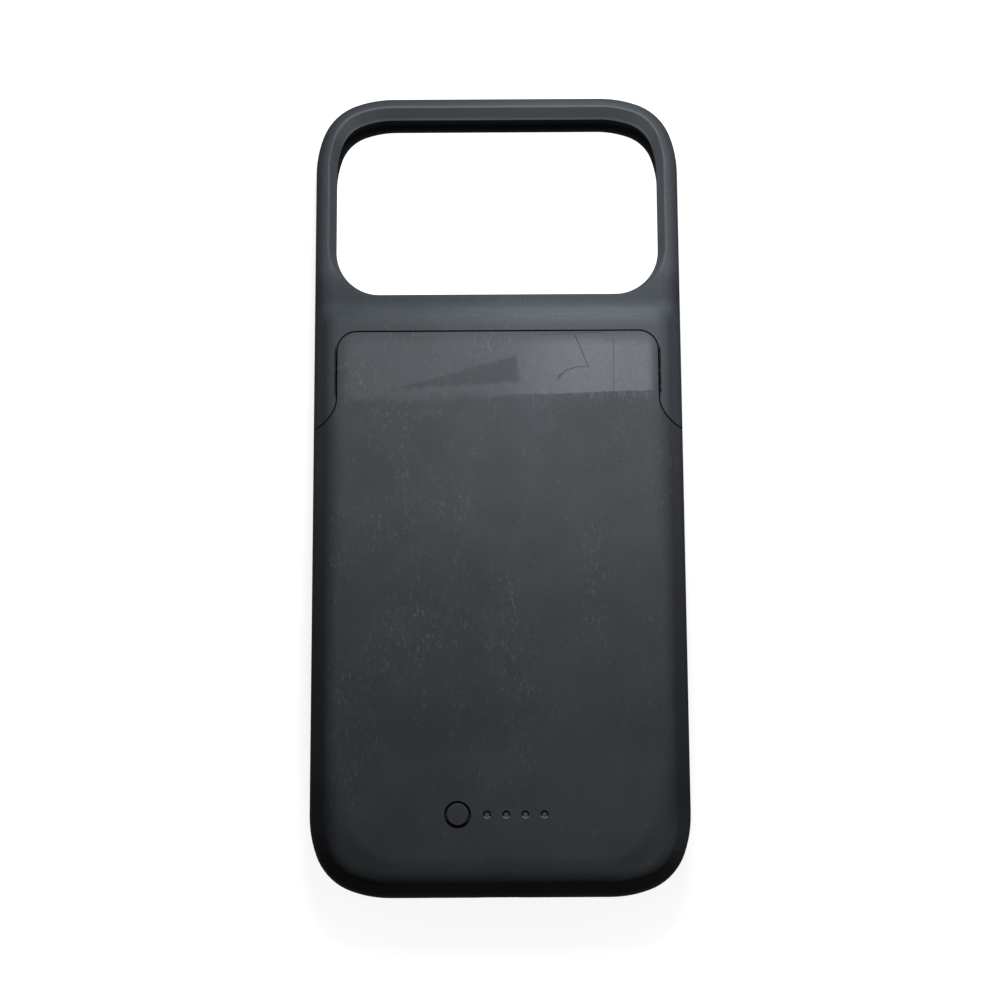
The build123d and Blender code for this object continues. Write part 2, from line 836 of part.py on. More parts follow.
# Collar round the plug
with BuildPart() as plug_collar:
    outer = slot_face(
        cross_plane(dock_face),
        0,
        phone_middle,
        collar_width - 2 * collar_fit,
        collar_height - 2 * collar_fit,
    )
    extrude(outer, amount=dock_face - cavity_bottom)
    inner = slot_face(
        cross_plane(dock_face), 0, phone_middle, plug_width + 2 * plug_fit, plug_height + 2 * plug_fit
    )
    extrude(inner, amount=dock_face - cavity_bottom, mode=Mode.SUBTRACT)
plug_collar.part.label = "plug_collar"
export_step(plug_collar.part, "parts/plug_collar.step")

# Key covers
with BuildPart() as side_key:
    add_key(-1, side_key_from_top, side_key_length)
side_key.part.label = "side_key"
export_step(side_key.part, "parts/side_key.step")

with BuildPart() as action_key:
    add_key(1, action_key_from_top, action_key_length)
action_key.part.label = "action_key"
export_step(action_key.part, "parts/action_key.step")

with BuildPart() as volume_up_key:
    add_key(1, volume_up_from_top, volume_key_length)
volume_up_key.part.label = "volume_up_key"
export_step(volume_up_key.part, "parts/volume_up_key.step")

with BuildPart() as volume_down_key:
    add_key(1, volume_up_from_top + volume_key_pitch, volume_key_length)
volume_down_key.part.label = "volume_down_key"
export_step(volume_down_key.part, "parts/volume_down_key.step")
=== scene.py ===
import json
from math import radians

import bmesh
import bpy
from mathutils import Matrix, Vector


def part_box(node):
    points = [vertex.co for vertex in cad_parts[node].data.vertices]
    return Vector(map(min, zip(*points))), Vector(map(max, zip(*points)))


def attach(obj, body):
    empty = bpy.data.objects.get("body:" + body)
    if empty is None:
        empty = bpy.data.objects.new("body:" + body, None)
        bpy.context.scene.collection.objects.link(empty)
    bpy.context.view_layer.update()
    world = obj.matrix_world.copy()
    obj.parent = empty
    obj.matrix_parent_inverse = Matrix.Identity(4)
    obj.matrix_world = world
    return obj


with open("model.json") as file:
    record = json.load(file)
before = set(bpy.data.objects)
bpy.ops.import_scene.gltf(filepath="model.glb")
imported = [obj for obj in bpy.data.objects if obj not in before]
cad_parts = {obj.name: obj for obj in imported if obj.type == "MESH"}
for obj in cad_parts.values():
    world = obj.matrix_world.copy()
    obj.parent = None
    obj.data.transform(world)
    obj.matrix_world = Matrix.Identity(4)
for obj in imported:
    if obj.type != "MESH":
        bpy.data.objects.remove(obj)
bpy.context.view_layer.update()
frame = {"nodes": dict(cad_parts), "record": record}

MM = 0.001
RIGHT = (1.0, 0.0, 0.0)
UP = (0.0, 0.0, 1.0)


# Node helper

class Graph:
    """One material and the few kinds of node that the materials here are made of.

    Sizes, depths and places are given in millimetres. Nodes hand on metres.
    """

    MIX_COLORS = (6, 7)
    MIX_RESULT = 2
    EDGE_SAMPLES = 6
    EDGE_TURN = (0.995, 0.90)

    def __init__(self, name, **constants):
        self.material = bpy.data.materials.new(name)
        self.material.use_nodes = True
        self.tree = self.material.node_tree
        self.tree.nodes.clear()
        self.shader = self.add("ShaderNodeBsdfPrincipled")
        output = self.add("ShaderNodeOutputMaterial")
        self.tree.links.new(self.shader.outputs["BSDF"], output.inputs["Surface"])
        coordinates = self.add("ShaderNodeTexCoord")
        self.place = coordinates.outputs["Object"]
        self.normal = coordinates.outputs["Normal"]
        axes = self.add("ShaderNodeSeparateXYZ")
        self.feed(axes.inputs[0], self.place)
        self.x, self.y, self.z = axes.outputs
        for socket, value in constants.items():
            self.shader.inputs[socket.replace("_", " ")].default_value = value

    def add(self, kind, **settings):
        node = self.tree.nodes.new(kind)
        for key, value in settings.items():
            setattr(node, key, value)
        return node

    def feed(self, socket, value):
        if isinstance(value, bpy.types.NodeSocket):
            self.tree.links.new(value, socket)
        else:
            socket.default_value = value

    def set(self, socket, value):
        self.feed(self.shader.inputs[socket], value)

    def math(self, operation, first, second=0.0):
        node = self.add("ShaderNodeMath", operation=operation)
        self.feed(node.inputs[0], first)
        self.feed(node.inputs[1], second)
        return node.outputs[0]

    def chain(self, operation, values):
        """One operation over all the values, from left to right."""
        result = values[0]
        for value in values[1:]:
            result = self.math(operation, result, value)
        return result

    def plus(self, *values):
        return self.chain("ADD", values)

    def times(self, *values):
        return self.chain("MULTIPLY", values)

    def most(self, *values):
        return self.chain("MAXIMUM", values)

    def least(self, *values):
        return self.chain("MINIMUM", values)

    def minus(self, first, second):
        return self.math("SUBTRACT", first, second)

    def vector(self, operation, first, second):
        node = self.add("ShaderNodeVectorMath", operation=operation)
        self.feed(node.inputs[0], first)
        self.feed(node.inputs[1], second)
        return node.outputs["Value" if operation in ("DOT_PRODUCT", "DISTANCE") else "Vector"]

    def flat(self):
        """Place as seen from above, with no height."""
        return self.vector("MULTIPLY", self.place, (1.0, 1.0, 0.0))

    def facing(self, direction):
        """How far the surface faces a direction: 1 straight at it, 0 square to it."""
        return self.vector("DOT_PRODUCT", self.normal, direction)

    def fade(self, value, start, end, low=0.0, high=1.0):
        """Smooth step of a value from low at the start to high at the end."""
        node = self.add("ShaderNodeMapRange", interpolation_type="SMOOTHSTEP")
        for index, number in enumerate((value, start, end, low, high)):
            self.feed(node.inputs[index], number)
        return node.outputs[0]

    def ramp(self, value, places, low=0.0, high=1.0):
        """Smooth step from low at the first place to high at the second."""
        start, end = places
        return self.fade(value, start * MM, end * MM, low, high)

    def between(self, value, places):
        """Mask that rises over the first two of four places and falls over the last two."""
        start, full, late, end = places
        return self.times(self.ramp(value, (start, full)), self.ramp(value, (end, late)))

    def noise(self, size, detail=3.0, stretch=(1.0, 1.0, 1.0), rough=0.5):
        """Noise whose features are about as large as the size, longer along a stretch over 1."""
        node = self.add("ShaderNodeTexNoise")
        spread = self.vector("MULTIPLY", self.place, [1.0 / s for s in stretch])
        self.feed(node.inputs["Vector"], spread)
        node.inputs["Scale"].default_value = 1.0 / (size * MM)
        node.inputs["Detail"].default_value = detail
        node.inputs["Roughness"].default_value = rough
        return node.outputs["Fac"]

    def sway(self, size, detail=3.0, **settings):
        """Noise that swings to both sides of nought."""
        return self.minus(self.noise(size, detail, **settings), 0.5)

    def cells(self, size, feature="F1"):
        """Distance in a pattern of cells, as a share of their size."""
        node = self.add("ShaderNodeTexVoronoi", feature=feature)
        self.feed(node.inputs["Vector"], self.place)
        node.inputs["Scale"].default_value = 1.0 / (size * MM)
        return node.outputs["Distance"]

    def mix(self, factor, first, second):
        node = self.add("ShaderNodeMix", data_type="RGBA")
        self.feed(node.inputs[0], factor)
        for index, color in zip(self.MIX_COLORS, (first, second)):
            socket = isinstance(color, bpy.types.NodeSocket)
            self.feed(node.inputs[index], color if socket else (*color, 1.0))
        return node.outputs[self.MIX_RESULT]

    def bump(self, height, strength, depth, normal=None):
        node = self.add("ShaderNodeBump")
        node.inputs["Strength"].default_value = strength
        node.inputs["Distance"].default_value = depth * MM
        self.feed(node.inputs["Height"], height)
        if normal:
            self.feed(node.inputs["Normal"], normal)
        return node.outputs["Normal"]

    def soft_edge(self, radius):
        """Normal rounded over the edges, and a mask of those edges."""
        node = self.add("ShaderNodeBevel", samples=self.EDGE_SAMPLES)
        node.inputs["Radius"].default_value = radius * MM
        true = self.add("ShaderNodeNewGeometry").outputs["True Normal"]
        turn = self.vector("DOT_PRODUCT", node.outputs["Normal"], true)
        return node.outputs["Normal"], self.fade(turn, *self.EDGE_TURN)


# Case plastic: colours, and sizes and places in millimetres

SHELL_DARK = (0.0332, 0.0340, 0.0366)
SHELL_LIGHT = (0.0458, 0.0468, 0.0504)
CAP_DARK = (0.0317, 0.0345, 0.0386)
CAP_LIGHT = (0.0438, 0.0475, 0.0530)
# These three colours serve real wear, rubbing and dirt, and also painted highlights, painted light and
# painted shade.
WORN_AND_HIGHLIGHT = (0.172, 0.1740, 0.1780)
RUBBED_AND_LIT = (0.086, 0.0890, 0.0935)
GRIME_AND_SHADE = (0.006, 0.0062, 0.0068)
CASE_SHINE = {"IOR": 1.1, "Specular_IOR_Level": 0.2}
PANEL_ROUGH = 0.40
SLOPE_ROUGH = 0.62
HAZE_ROUGH = 0.12
DUST_ROUGH = 0.2

GRAIN = 0.16
GRAIN_DEPTH = 0.012
GRAIN_STRENGTH = 0.22
DUST_HEIGHT = 0.8
HAZE = 9.0
HAZE_SHARE = 0.55
CLOUD = 30.0
CLOUD_SHARE = 0.45
SIDE_LIGHT_PLACES = (-38.0, 38.0)

DUST_CLUMP = 11.0
DUST_THIN_PLACES = (-78.0, -34.0)
CHIN_DUST = 0.40
SMUDGE = 0.65
SMUDGE_SHARE = 0.25
STREAK = 0.28
STREAK_SHARE = 0.09
SPECK_SPACING = 1.1
SPECK_CLUMP = 2.0
SPECK_SHARE = 0.32
PIT_SPACING = 1.9
PIT_CLUMP = 5.0
PIT_SHARE = 0.55

EDGE_RADIUS = 0.22
EDGE_PATCH = 1.2
EDGE_WEAR_AND_HIGHLIGHT = 0.55
EDGE_SHADE = 0.65
EDGE_SHADE_TO_WEAR_PLACES = (34.0, 38.0)


def dust_mask(g, amount):
    """Smudges in clumps, fine upright streaks and pale specks; the clumps thin out towards the chin."""
    clump = g.fade(g.noise(DUST_CLUMP, 4.0, stretch=(1.0, 1.6, 1.0), rough=0.6), 0.38, 0.68)
    clump = g.times(clump, g.ramp(g.y, DUST_THIN_PLACES, CHIN_DUST, 1.0))
    smudge = g.fade(g.noise(SMUDGE, 5.0, stretch=(1.0, 2.3, 1.0), rough=0.7), 0.525, 0.70)
    streak = g.fade(g.noise(STREAK, 2.0, stretch=(1.0, 3.5, 1.0)), 0.52, 0.74)
    speck = g.fade(g.cells(SPECK_SPACING), 0.13, 0.06)
    sparse = g.fade(g.noise(SPECK_CLUMP, 1.0), 0.52, 0.60)
    dust = g.times(clump, g.plus(g.times(smudge, SMUDGE_SHARE), g.times(streak, STREAK_SHARE)))
    return g.times(g.plus(dust, g.times(speck, sparse, SPECK_SHARE)), amount)


def pit_mask(g):
    """Small dark specks in loose groups."""
    speck = g.fade(g.cells(PIT_SPACING), 0.10, 0.05)
    return g.times(speck, g.fade(g.noise(PIT_CLUMP, 1.0), 0.50, 0.58))


def case_plastic(name, dark, light, side_light, dusty):
    """Dark moulded plastic with grain, haze and dust: painted shade on the edges below the ramp, wear and a
    painted highlight on the edges above it.

    The tone leans from darker at the left to lighter at the right: painted shade at the left and painted
    light at the right.
    """
    g = Graph(name, **CASE_SHINE)
    grain = g.noise(GRAIN, 2.0)
    haze = g.noise(HAZE, 5.0, rough=0.6)
    cloud = g.noise(CLOUD, 2.0)
    tone = g.plus(g.times(haze, HAZE_SHARE), g.times(cloud, CLOUD_SHARE))
    # Painted shade at the left and painted light at the right, as a lean of the tone across the case.
    tone = g.plus(tone, g.ramp(g.x, SIDE_LIGHT_PLACES, -side_light, side_light))
    color = g.mix(g.fade(tone, 0.20, 0.82), dark, light)
    dust = dust_mask(g, dusty)
    color = g.mix(dust, color, WORN_AND_HIGHLIGHT)
    color = g.mix(g.times(pit_mask(g), PIT_SHARE), color, GRIME_AND_SHADE)

    edge_normal, edge = g.soft_edge(EDGE_RADIUS)
    above = g.ramp(g.y, EDGE_SHADE_TO_WEAR_PLACES)
    uneven = g.fade(g.noise(EDGE_PATCH), 0.30, 0.75, 0.0, EDGE_WEAR_AND_HIGHLIGHT)
    # Edges below the ramp get painted shade of the seams and holes; edges above it get wear with a painted
    # highlight.
    share = g.plus(g.times(above, uneven), g.minus(EDGE_SHADE, g.times(above, EDGE_SHADE)))
    color = g.mix(g.times(edge, share), color, g.mix(above, GRIME_AND_SHADE, WORN_AND_HIGHLIGHT))

    matt = g.fade(g.facing(UP), 0.995, 0.72, PANEL_ROUGH, SLOPE_ROUGH)
    rough = g.plus(g.times(haze, HAZE_ROUGH), matt, g.times(dust, DUST_ROUGH))
    height = g.plus(grain, g.times(dust, DUST_HEIGHT))
    g.set("Normal", g.bump(height, GRAIN_STRENGTH, GRAIN_DEPTH, edge_normal))
    g.set("Base Color", color)
    g.set("Roughness", rough)
    return g, color, rough


# Marks drawn on the case, by places in millimetres

STROKE_CORE = 0.25
STROKE_EDGE = 0.6


def stroke(g, flat, start, end, width):
    """Mask of a thin mark from start to end."""
    first = Vector((*start, 0.0)) * MM
    run = Vector((*end, 0.0)) * MM - first
    along = g.vector("DOT_PRODUCT", g.vector("SUBTRACT", flat, first), run.normalized())
    held = g.least(g.most(along, 0.0), run.length)
    node = g.add("ShaderNodeVectorMath", operation="SCALE")
    g.feed(node.inputs[0], run.normalized())
    g.feed(node.inputs["Scale"], held)
    nearest = g.vector("ADD", node.outputs["Vector"], first)
    away = g.vector("DISTANCE", flat, nearest)
    return g.ramp(away, (width * STROKE_CORE, width * STROKE_EDGE), 1.0, 0.0)


def left_of(g, start, end, soft, wander):
    """Mask of what lies to the left of the wandering line from start to end."""
    run = (Vector(end) - Vector(start)).normalized()
    across = g.plus(g.times(g.x, -run.y), g.times(g.y, run.x), wander)
    level = -run.y * start[0] + run.x * start[1]
    return g.ramp(across, (level - soft, level + soft))


# Rubbed band below the seam, with its smear and scratches

MOTTLE = 0.9
BAND_TILT = 0.0296
BAND_RAGGED = 4.0
BAND_RAGGED_PLACES = (-12.0, 6.0)
BAND_RAGGED_LEFT = 3.4
BAND_RAGGED_RIGHT = 0.25
BAND_FEATHER = 0.35
BAND_FEATHER_REACH = 0.8
BAND_SHARP_EDGE = (17.5, 17.85)
BAND_FAINT_EDGE = (16.4, 19.0)
BAND_SHARP_PLACES = (-10.0, 8.0)
BAND_WIDTH_PLACES = (-32.6, -29.5, 30.6, 32.8)
BAND_STRONG_PLACES = (-4.0, 20.0)
BAND_LEFT_SHARE = 0.22
BAND_RIGHT_SHARE = 0.97
BAND_TOP_PLACES = (31.4, 27.5)
BAND_TOP_SHARE = 0.15
BAND_SPECKLE = 0.34
BAND_SPECKLE_SHARE = 0.19
BAND_SHINE = 0.05

# Start, end and softness of the smear's three sides
SMEAR_SIDES = (
    ((3.6, 25.9), (-19.3, 19.6), 0.5),
    ((-18.6, 19.2), (4.6, 20.6), 0.5),
    ((4.4, 20.0), (3.6, 27.0), 0.6),
)
SMEAR_WANDER = 1.6
SMEAR_WANDER_REACH = 1.8
SMEAR_COVER = 0.72
SMEAR_SHARE = 0.45

# Start, end, width and depth of tone of each scratch
SCRATCHES = (
    ((15.9, 30.3), (18.7, 23.5), 0.26, 1.0),
    ((16.4, 23.6), (18.7, 23.5), 0.24, 1.0),
    ((13.9, 22.7), (16.4, 23.6), 0.26, 1.0),
    ((12.3, 21.0), (13.9, 22.7), 0.34, 1.0),
    ((12.3, 21.0), (12.9, 22.2), 0.28, 1.0),
    ((23.9, 29.3), (23.8, 18.9), 0.24, 0.7),
    ((8.8, 30.4), (21.6, 30.9), 0.30, 0.6),
)
SCRATCH_SHARE = 0.52

RIM_START = (8.0, 17.9)
RIM_END = (32.0, 18.7)
RIM_WIDTH = 0.30
RIM_SHARE = 0.5
FRINGE_HAIR = 0.30
FRINGE_HEIGHT_PLACES = (15.4, 17.5, 17.5, 17.8)
FRINGE_WIDTH_PLACES = (6.0, 16.0, 30.6, 32.8)
FRINGE_SHARE = 0.75


def band_height(g):
    """Place up the back, level along the band's lower edge: tilted, ragged at the left and feathered."""
    ragged = g.sway(BAND_RAGGED, 4.0)
    loose = g.ramp(g.x, BAND_RAGGED_PLACES, BAND_RAGGED_LEFT * MM, BAND_RAGGED_RIGHT * MM)
    feather = g.sway(BAND_FEATHER, stretch=(1.0, 6.0, 1.0))
    wander = g.plus(g.times(ragged, loose), g.times(feather, BAND_FEATHER_REACH * MM))
    return g.plus(g.minus(g.y, g.times(g.x, BAND_TILT)), wander)


def smear_mask(g, mottle):
    """Dark smear in the band that tapers to the left."""
    wander = g.times(g.sway(SMEAR_WANDER, 4.0, rough=0.65), SMEAR_WANDER_REACH * MM)
    sides = [left_of(g, start, end, soft, wander) for start, end, soft in SMEAR_SIDES]
    return g.times(*sides, g.fade(mottle, 0.30, 0.50, 0.75, 1.0))


def rubbed_band(g, color, mottle, height):
    """Band rubbed pale, weaker and softer to the left; returns the colour and the band's mask."""
    faint = g.ramp(height, BAND_FAINT_EDGE)
    right = g.ramp(g.x, BAND_SHARP_PLACES)
    edge = g.plus(g.times(g.ramp(height, BAND_SHARP_EDGE), right), g.times(faint, g.minus(1.0, right)))
    inside = g.between(g.x, BAND_WIDTH_PLACES)
    strength = g.ramp(g.x, BAND_STRONG_PLACES, BAND_LEFT_SHARE, BAND_RIGHT_SHARE)
    strength = g.times(strength, g.ramp(g.y, BAND_TOP_PLACES, BAND_TOP_SHARE, 1.0))
    smear = smear_mask(g, mottle)
    band = g.times(edge, inside, strength, g.fade(mottle, 0.22, 0.62, 0.72, 1.0))
    band = g.times(band, g.minus(1.0, g.times(smear, SMEAR_COVER)))
    color = g.mix(band, color, RUBBED_AND_LIT)
    speckle = g.fade(g.noise(BAND_SPECKLE, rough=0.7), 0.56, 0.74)
    color = g.mix(g.times(speckle, faint, inside, BAND_SPECKLE_SHARE), color, WORN_AND_HIGHLIGHT)
    return g.mix(g.times(smear, SMEAR_SHARE), color, SHELL_DARK), band


def scratched(g, color, mottle):
    """Dark scratches across the band."""
    flat = g.flat()
    marks = g.most(*(
        g.times(stroke(g, flat, start, end, width), depth) for start, end, width, depth in SCRATCHES
    ))
    marks = g.times(marks, g.fade(mottle, 0.20, 0.45, 0.55, 1.0))
    return g.mix(g.times(marks, SCRATCH_SHARE), color, GRIME_AND_SHADE)


def band_rim(g, color, mottle, height):
    """Pale line along the band's lower edge, with a fringe of hairs below it."""
    rim = g.times(stroke(g, g.flat(), RIM_START, RIM_END, RIM_WIDTH), g.fade(mottle, 0.40, 0.6), RIM_SHARE)
    hairs = g.fade(g.noise(FRINGE_HAIR, stretch=(1.0, 5.0, 1.0)), 0.46, 0.66)
    area = g.times(g.between(height, FRINGE_HEIGHT_PLACES), g.between(g.x, FRINGE_WIDTH_PLACES))
    fringe = g.times(area, hairs, g.fade(mottle, 0.30, 0.60), FRINGE_SHARE)
    return g.mix(g.most(rim, fringe), color, RUBBED_AND_LIT)


# Darker middle, painted shade and light on the sides, and painted shade and light at the lights and chin of
# the lower shell

LIGHTS = 4
LIGHT_BAR_END = 1.3
LIGHT_RING_PLACES = (0.38, 0.44, 0.74, 0.86)
LIGHT_RING_SHARE = 0.9
LIGHT_LOW_PLACES = (-0.22, -0.36)
LIGHT_LOW_SHARE = 0.62

MIDDLE_DARK_PLACES = (-60.0, -50.0, -24.0, -8.0)
MIDDLE_DARK_SHARE = 0.15
SLOPE_PLACES = (8.0, -45.0)
SLOPE_TOP_SHARE = 0.12
SLOPE_LOW_SHARE = 0.38
MARGIN_PLACES = (31.0, 34.4, 35.2, 36.4)
MARGIN_SHARE = 0.27
SIDE_SHADE_PLACES = (-30.0, 30.0)
SIDE_SHADE_LEFT = 1.25
SIDE_SHADE_RIGHT = 0.65
LIT_CORNER_RIGHT = (22.0, 33.0)
LIT_CORNER_LOW = (-64.0, -76.0)
LIT_CORNER_SHARE = 0.45

CHIN_CORE_INSET = 19.0
CHIN_PLACES = (-58.0, -70.0)
CHIN_ROUND_PLACES = (10.7, 15.6)
CHIN_DEPTH = 0.68
CHIN_PALE_PLACES = (13.8, 15.2)
CHIN_PALE_WIDTH = (25.0, 17.0)
CHIN_PALE_SHARE = 0.30
CHIN_DARK_PLACES = (12.5, 16.0)
CHIN_DARK_LEFT = (-17.0, -27.0)
CHIN_DARK_SHARE = 0.26


def shaded_sides(g, color):
    """Darker middle of the panel, painted shade on the side slopes and margins, and painted light on the
    lower right corner, which is kept free of that painted shade.
    """
    # Darker over the middle of the panel.
    middle_dark = g.times(g.between(g.y, MIDDLE_DARK_PLACES), MIDDLE_DARK_SHARE)
    slope = g.fade(g.math("ABSOLUTE", g.facing(RIGHT)), 0.04, 0.70)
    slope = g.times(slope, g.ramp(g.y, SLOPE_PLACES, SLOPE_TOP_SHARE, SLOPE_LOW_SHARE))
    margin = g.times(g.between(g.math("ABSOLUTE", g.x), MARGIN_PLACES), MARGIN_SHARE)
    # Painted shade on the side slopes and margins, heavier at the left.
    side_shade = g.times(g.most(slope, margin), g.ramp(g.x, SIDE_SHADE_PLACES, SIDE_SHADE_LEFT, SIDE_SHADE_RIGHT))
    lit_corner = g.times(g.ramp(g.x, LIT_CORNER_RIGHT), g.ramp(g.y, LIT_CORNER_LOW))
    side_shade = g.times(side_shade, g.minus(1.0, lit_corner))
    color = g.mix(g.most(middle_dark, side_shade), color, GRIME_AND_SHADE)
    # Painted light on the turned faces of the lower right corner.
    turned = g.fade(g.facing(UP), 0.97, 0.80)
    return g.mix(g.times(lit_corner, turned, LIT_CORNER_SHARE), color, RUBBED_AND_LIT)


def light_dish_shading(g, color):
    """Painted shade as a dark arch round the upper part of each light's dish, and a painted highlight on
    its lower rim.
    """
    low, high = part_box("light_pipes")
    first = low.x + LIGHT_BAR_END * MM
    step = (high.x - LIGHT_BAR_END * MM - first) / (LIGHTS - 1)
    level = (low.y + high.y) / 2
    flat = g.flat()
    away = g.least(*(
        g.vector("DISTANCE", flat, (first + index * step, level, 0.0)) for index in range(LIGHTS)
    ))
    # Painted shade in a dark arch round each dish, and a painted highlight on its lower rim.
    ring = g.between(away, LIGHT_RING_PLACES)
    lower = g.ramp(g.minus(g.y, level), LIGHT_LOW_PLACES)
    rim = g.mix(g.times(lower, LIGHT_LOW_SHARE), GRIME_AND_SHADE, WORN_AND_HIGHLIGHT)
    return g.mix(g.times(ring, LIGHT_RING_SHARE), color, rim)


def chin_round(g, color):
    """Wide soft round of the chin end and its corners: painted light in the middle, painted shade at the
    left.

    The round is a bend of the shading, by the distance from a core inside the shell's outline.
    """
    low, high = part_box("back_shell")
    aside = g.math("ABSOLUTE", g.x)
    past_side = g.most(g.minus(aside, high.x - CHIN_CORE_INSET * MM), 0.0)
    past_end = g.most(g.minus(low.y + CHIN_CORE_INSET * MM, g.y), 0.0)
    reach = g.math("SQRT", g.plus(g.times(past_side, past_side), g.times(past_end, past_end)))
    chin = g.ramp(g.y, CHIN_PLACES)
    # Painted light on the middle of the chin's round.
    pale = g.times(g.ramp(reach, CHIN_PALE_PLACES), g.ramp(aside, CHIN_PALE_WIDTH), chin)
    color = g.mix(g.times(pale, CHIN_PALE_SHARE), color, RUBBED_AND_LIT)
    # Painted shade on the left of the chin's round.
    dark = g.times(g.ramp(reach, CHIN_DARK_PLACES), g.ramp(g.x, CHIN_DARK_LEFT), chin)
    color = g.mix(g.times(dark, CHIN_DARK_SHARE), color, GRIME_AND_SHADE)
    fall = g.times(g.ramp(reach, CHIN_ROUND_PLACES), chin)
    grained = g.shader.inputs["Normal"].links[0].from_socket
    g.set("Normal", g.bump(g.minus(1.0, fall), 1.0, CHIN_DEPTH, grained))
    return color


def worn_and_shaded_shell(g, color, rough):
    """Wear, dirt, painted light and painted shade of the lower shell's back, from the seam down to the
    chin.
    """
    mottle = g.noise(MOTTLE, 4.0, rough=0.65)
    height = band_height(g)
    color, band = rubbed_band(g, color, mottle, height)
    color = scratched(g, color, mottle)
    color = band_rim(g, color, mottle, height)
    color = shaded_sides(g, color)
    color = light_dish_shading(g, color)
    color = chin_round(g, color)
    g.set("Base Color", color)
    g.set("Roughness", g.minus(rough, g.times(band, BAND_SHINE)))


# Painted highlight, light and shade of the cap, and its second seam line

CAP_MOTTLE = 0.7
SCUFF = 0.35
CROWN_PLACES = (31.8, 35.2, 35.6, 37.6)
CROWN_WIDTH_PLACES = (-34.0, -24.0, 31.0, 35.0)
CROWN_LEAN_PLACES = (-25.0, 24.0)
CROWN_LEFT_SHARE = 0.15
CROWN_RIGHT_SHARE = 0.58
FRAME_PLACES = (37.0, 46.0)
FRAME_SHARE = 0.18
PLATEAU_PLACES = (36.5, 39.0, 42.0, 46.0)
PLATEAU_SHARE = 0.28
LINE_SIDE = 33.40
LINE_WIDTH = 0.54
LINE_PLACES = (17.0, 18.6, 26.8, 28.4)
CAP_CORE = (22.0, 67.0)
INWARD_PLACES = (-0.1, -0.6)
WALL_PLACES = (72.0, 78.0)
WALL_FOOT = (10.05, 10.15)
WALL_SHARE = 0.55
WALL_LOW_PLACES = (11.2, 10.4)
WALL_LOW_SHARE = 0.35
INSIDE_SHADE_PLACES = (10.15, 10.0)


def crown_light_and_shade(g, color, mottle):
    """Painted highlight on the crown of the ramp, broken up along it by scuffs; painted light on the frame
    and painted shade on the plateau above it.
    """
    scuff = g.noise(SCUFF, 4.0, stretch=(14.0, 1.0, 1.0), rough=0.6)
    # Painted highlight on the crown of the ramp.
    crown = g.times(
        g.between(g.y, CROWN_PLACES),
        g.between(g.x, CROWN_WIDTH_PLACES),
        g.ramp(g.x, CROWN_LEAN_PLACES, CROWN_LEFT_SHARE, CROWN_RIGHT_SHARE),
        g.fade(mottle, 0.25, 0.65, 0.65, 1.0),
        g.fade(scuff, 0.30, 0.70, 0.75, 1.2),
    )
    # Painted light on the frame round the window.
    ring = g.times(g.ramp(g.y, FRAME_PLACES), FRAME_SHARE)
    color = g.mix(g.most(crown, ring), color, RUBBED_AND_LIT)
    # Painted shade on the plateau.
    return g.mix(g.times(g.between(g.y, PLATEAU_PLACES), PLATEAU_SHARE), color, GRIME_AND_SHADE)


def second_line(g, color, mottle):
    """Dark line beside each upright run of the seam."""
    flat = g.flat()
    foot, top = LINE_PLACES[0], LINE_PLACES[-1]
    lines = g.most(*(
        stroke(g, flat, (side * LINE_SIDE, top), (side * LINE_SIDE, foot), LINE_WIDTH) for side in (-1, 1)
    ))
    lines = g.times(lines, g.between(g.y, LINE_PLACES))
    return g.mix(g.times(lines, g.fade(mottle, 0.26, 0.48)), color, GRIME_AND_SHADE)


def cap_inside(g, color):
    """Painted light on the upper wall of the window with a painted highlight near its foot, and black
    painted shade on the inside below it.
    """
    core = Vector((CAP_CORE[0] * MM, CAP_CORE[1] * MM, 1.0))
    nearest = g.vector("MINIMUM", g.vector("MAXIMUM", g.place, -core), core)
    outward = g.vector("SUBTRACT", g.place, nearest)
    inward = g.ramp(g.vector("DOT_PRODUCT", outward, g.normal), INWARD_PLACES)
    wall = g.times(inward, g.ramp(g.y, WALL_PLACES), g.ramp(g.z, WALL_FOOT))
    # Painted light on the upper wall of the window.
    color = g.mix(g.times(wall, WALL_SHARE), color, RUBBED_AND_LIT)
    # Painted highlight along the foot of that wall.
    color = g.mix(g.times(wall, g.ramp(g.z, WALL_LOW_PLACES), WALL_LOW_SHARE), color, WORN_AND_HIGHLIGHT)
    upward = g.fade(g.facing(UP), 0.6, 0.9)
    # Black painted shade on the inside below the window's foot.
    inside_shade = g.times(g.most(inward, upward), g.ramp(g.z, INSIDE_SHADE_PLACES))
    return g.mix(inside_shade, color, GRIME_AND_SHADE)


def marked_and_shaded_cap(g, color):
    """Second seam line of the cap, with painted highlight, light and shade on its crown, frame, plateau and
    inside.
    """
    mottle = g.noise(CAP_MOTTLE, 4.0, rough=0.65)
    color = crown_light_and_shade(g, color, mottle)
    color = second_line(g, color, mottle)
    g.set("Base Color", cap_inside(g, color))


# Materials of the smaller parts

